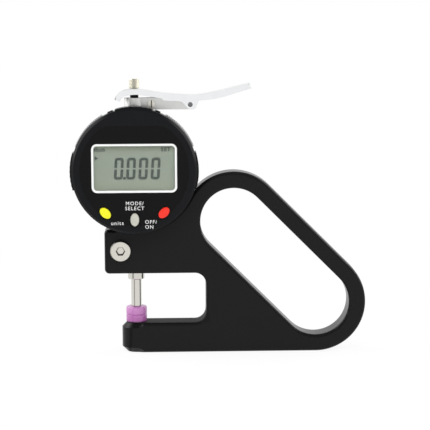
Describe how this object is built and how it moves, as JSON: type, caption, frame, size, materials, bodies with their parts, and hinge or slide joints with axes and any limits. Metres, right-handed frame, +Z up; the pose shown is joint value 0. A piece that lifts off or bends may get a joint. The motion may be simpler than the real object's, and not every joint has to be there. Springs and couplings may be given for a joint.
{
  "type": "digital thickness gauge",
  "caption": "Hand-held digital thickness gauge: bowed black frame with a handle slot, round reading head, sprung spindle, lilac anvils and a thumb lever.",
  "frame": {"origin": "on the flat base of the lower jaw, straight under the spindle's axis", "axes": "+X from the spindle towards the handle, -Y towards the reader of the dial, +Z up along the spindle"},
  "size_m": [0.1406, 0.0278, 0.1314],
  "materials": {
    "black_anodised": "black anodised aluminium, fine matt",
    "lilac_ceramic": "polished lilac ceramic",
    "ground_steel": "ground and polished steel",
    "screw_steel": "bright nickel-plated steel",
    "bronze": "sintered bronze",
    "nickel": "knurled, warm nickel plate",
    "bright_lever": "bright polished channel",
    "satin_bracket": "satin-nickel casting",
    "black_plastic": "moulded, fine spark texture",
    "label_black": "glossy printed film",
    "white_frame": "white satin",
    "clear_window": "clear acrylic",
    "display_glass": "grey-green liquid-crystal cell",
    "circuit_green": "solder-masked board",
    "cell_steel": "plated cell can",
    "scale_glass": "glass scale",
    "pad_rubber": "silicone rubber",
    "yellow_key": "satin moulded",
    "grey_key": "satin moulded",
    "red_key": "satin moulded"
  },
  "bodies": {
    "gauge_body": {"frame": "black_anodised", "clamp_screw": "screw_steel", "lower_anvil": "lilac_ceramic", "stem": "ground_steel", "lower_bush": "bronze", "inner_bush": "bronze", "upper_stem": "ground_steel", "dust_collar": "black_plastic", "rear_housing": "black_plastic", "head_retainer": "ground_steel", "back_cover": "black_plastic", "cover_screws": "screw_steel", "guide_rail": "ground_steel", "reading_sensor": "circuit_green", "spring_post": "ground_steel", "return_spring": "ground_steel", "lever_bracket": "satin_bracket", "bracket_screw": "screw_steel", "lever_pin": "ground_steel"},
    "spindle_body": {"spindle": "ground_steel", "upper_anvil": "lilac_ceramic", "top_cap": "nickel", "scale_carrier": "ground_steel", "encoder_scale": "scale_glass", "guide_pin": "ground_steel"},
    "lever_body": {"lifting_lever": "bright_lever"},
    "reading_head": {"head_shell": "black_plastic", "face_label": "label_black", "window_frame": "white_frame", "window_lens": "clear_window", "lcd_panel": "display_glass", "circuit_board": "circuit_green", "board_screws": "screw_steel", "battery": "cell_steel", "battery_holder": "black_plastic", "head_back_plate": "black_plastic", "button_pad": "pad_rubber"},
    "units_key": {"units_button": "yellow_key"},
    "preset_key": {"preset_button": "grey_key"},
    "zero_key": {"zero_button": "red_key"}
  },
  "joints": [
    {"name": "spindle_slide", "type": "slide", "parent": "gauge_body", "child": "spindle_body", "axis": [0, 0, 1], "range_m": [0, 0.01], "stiffness_N_per_m": 40, "springref_m": -0.03, "deforming": ["return_spring"]},
    {"name": "lever_swing", "type": "hinge", "parent": "gauge_body", "child": "lever_body", "pos_m": [0.0266, 0, 0.1193], "axis": [0, 1, 0], "range_deg": [0, 20.7]},
    {"name": "head_turn", "type": "hinge", "parent": "gauge_body", "child": "reading_head", "pos_m": [0, 0, 0.0889], "axis": [0, -1, 0], "range_deg": [-135, 135]},
    {"name": "units_press", "type": "slide", "parent": "reading_head", "child": "units_key", "axis": [0, 1, 0], "range_m": [0, 0.0005], "stiffness_N_per_m": 1500, "springref_m": -0.0003},
    {"name": "preset_press", "type": "slide", "parent": "reading_head", "child": "preset_key", "axis": [0, 1, 0], "range_m": [0, 0.0005], "stiffness_N_per_m": 1500, "springref_m": -0.0003},
    {"name": "zero_press", "type": "slide", "parent": "reading_head", "child": "zero_key", "axis": [0, 1, 0], "range_m": [0, 0.0005], "stiffness_N_per_m": 1500, "springref_m": -0.0003}
  ],
  "couplings": [
    {"joint": "lever_swing", "follows": "spindle_slide", "rad_per_m": 36}
  ]
}
